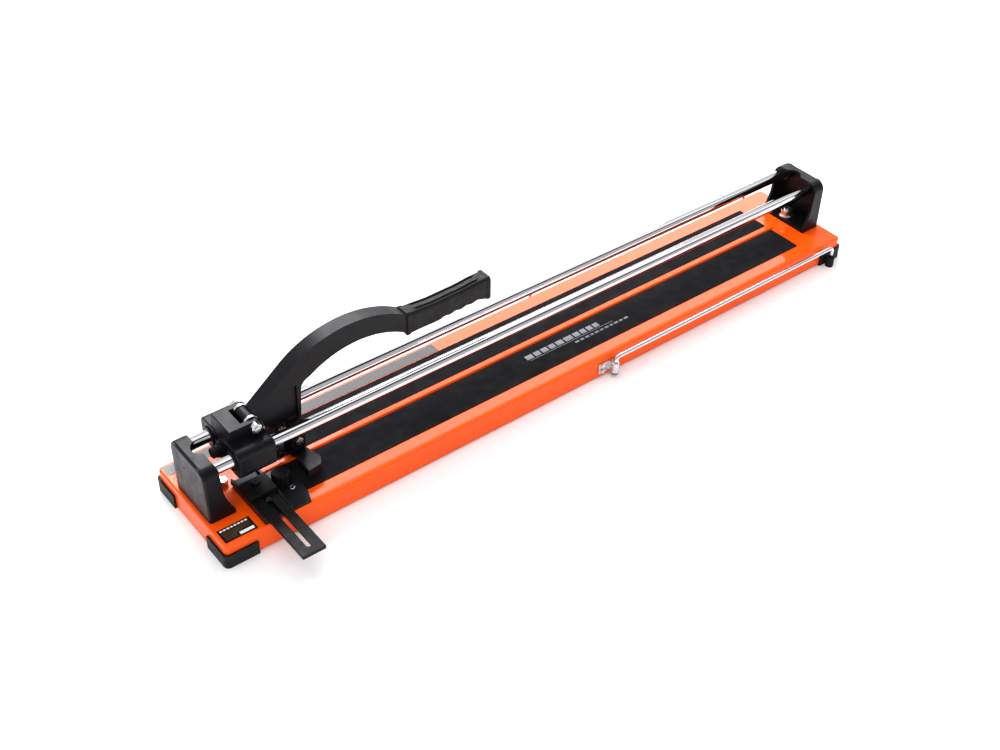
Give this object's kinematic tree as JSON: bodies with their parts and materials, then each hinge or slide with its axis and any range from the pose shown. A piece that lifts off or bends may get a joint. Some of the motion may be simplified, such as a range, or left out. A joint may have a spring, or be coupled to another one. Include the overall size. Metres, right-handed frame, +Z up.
{
  "type": "tile cutter",
  "caption": "Manual rail tile cutter: pressed base with rubber pads, twin rails, sliding carriage with an arched lever and cutting wheel, angled fence and swing-out supports.",
  "frame": {"origin": "on the bench, under the middle of the cut line", "axes": "+X runs along the cut from the fence end to the far end, +Y points to the rear, away from the fence arm, and +Z is up"},
  "size_m": [1.086, 0.2629, 0.2116],
  "materials": {
    "orange_paint": "glossy orange paint on pressed steel",
    "zinc_sheet": "plain zinc-plated sheet",
    "foot_rubber": "matte black rubber",
    "pad_rubber": "matte dark grey ribbed rubber",
    "cap_rubber": "satin black moulded rubber",
    "black_casting": "satin black powder coat on a casting",
    "zinc_fastener": "bright zinc plating",
    "dark_steel": "dark oiled steel",
    "chrome_rail": "polished hard chrome",
    "label_print": "dark printed sticker",
    "gloss_black_strip": "glossy dark sticker",
    "black_steel": "black painted steel",
    "chrome_screw": "bright screw",
    "black_plastic": "moulded black plastic",
    "zinc_bracket": "zinc-plated steel",
    "zinc_rod": "zinc-plated round rod",
    "bush_plastic": "dark nylon",
    "grip_rubber": "matte black soft grip",
    "hard_metal": "ground hard metal"
  },
  "bodies": {
    "base": {"base_plate": "orange_paint", "centre_beam": "zinc_sheet", "centre_foot": "foot_rubber", "front_pad": "pad_rubber", "rear_pad": "pad_rubber", "corner_cap_front_left": "cap_rubber", "corner_cap_front_right": "cap_rubber", "corner_cap_rear_left": "cap_rubber", "corner_cap_rear_right": "cap_rubber", "left_post": "black_casting", "right_post": "black_casting", "post_studs": "zinc_fastener", "post_washers": "zinc_fastener", "post_nuts": "zinc_fastener", "rail_set_screws": "dark_steel", "front_rail": "chrome_rail", "rear_rail": "chrome_rail", "rating_label": "label_print", "rear_strip": "gloss_black_strip", "fence_base": "black_steel", "fence_base_screws": "chrome_screw", "fence_pivot_stud": "zinc_fastener", "fence_stop_bolt": "zinc_fastener", "arm_bracket_screws": "zinc_fastener", "front_arm_bracket": "zinc_bracket", "rear_arm_bracket": "zinc_bracket"},
    "carriage": {"carriage_body": "black_casting", "slide_bushes": "bush_plastic", "bush_screws": "dark_steel", "stop_buffer": "foot_rubber", "pivot_bolt": "zinc_fastener", "pivot_nut": "zinc_fastener", "fork_washers": "zinc_fastener"},
    "lever": {"handle_casting": "black_casting", "grip": "grip_rubber", "wheel_holder": "zinc_bracket", "holder_bolt": "zinc_fastener", "holder_nut": "zinc_fastener", "wheel_axle": "dark_steel", "breaker_foot": "black_casting", "breaker_pads": "foot_rubber", "breaker_bolt": "zinc_fastener"},
    "wheel": {"cutting_wheel": "hard_metal"},
    "fence": {"fence_body": "black_steel", "clamp_bridge": "black_plastic", "clamp_screws": "dark_steel"},
    "fence_arm": {"slotted_arm": "black_plastic"},
    "knob": {"lock_knob": "black_plastic"},
    "front_support_arm": {"front_arm_rod": "zinc_rod", "front_arm_foot": "foot_rubber", "front_arm_clip": "dark_steel"},
    "rear_support_arm": {"rear_arm_rod": "zinc_rod", "rear_arm_foot": "foot_rubber", "rear_arm_clip": "dark_steel"}
  },
  "joints": [
    {"name": "carriage_slide", "type": "slide", "parent": "base", "child": "carriage", "axis": [1, 0, 0], "range_m": [-0.008, 0.84]},
    {"name": "lever_tilt", "type": "hinge", "parent": "carriage", "child": "lever", "pos_m": [-0.452, 0, 0.1335], "axis": [0, -1, 0], "range_deg": [0, 22]},
    {"name": "wheel_spin", "type": "hinge", "parent": "lever", "child": "wheel", "pos_m": [-0.413, 0, 0.0515], "axis": [0, 1, 0], "continuous": true},
    {"name": "fence_swing", "type": "hinge", "parent": "base", "child": "fence", "pos_m": [-0.432, -0.0335, 0.0388], "axis": [0, 0, 1], "range_deg": [0, 45]},
    {"name": "arm_extend", "type": "slide", "parent": "fence", "child": "fence_arm", "axis": [0, 1, 0], "range_m": [-0.015, 0.03]},
    {"name": "knob_turn", "type": "hinge", "parent": "base", "child": "knob", "pos_m": [-0.432, -0.0335, 0.045], "axis": [0, 0, 1], "continuous": true},
    {"name": "front_arm_swing", "type": "hinge", "parent": "base", "child": "front_support_arm", "pos_m": [0.066, -0.0946, 0.016], "axis": [0, 0, -1], "range_deg": [0, 90]},
    {"name": "rear_arm_swing", "type": "hinge", "parent": "base", "child": "rear_support_arm", "pos_m": [0.066, 0.0946, 0.016], "axis": [0, 0, 1], "range_deg": [0, 90]}
  ]
}
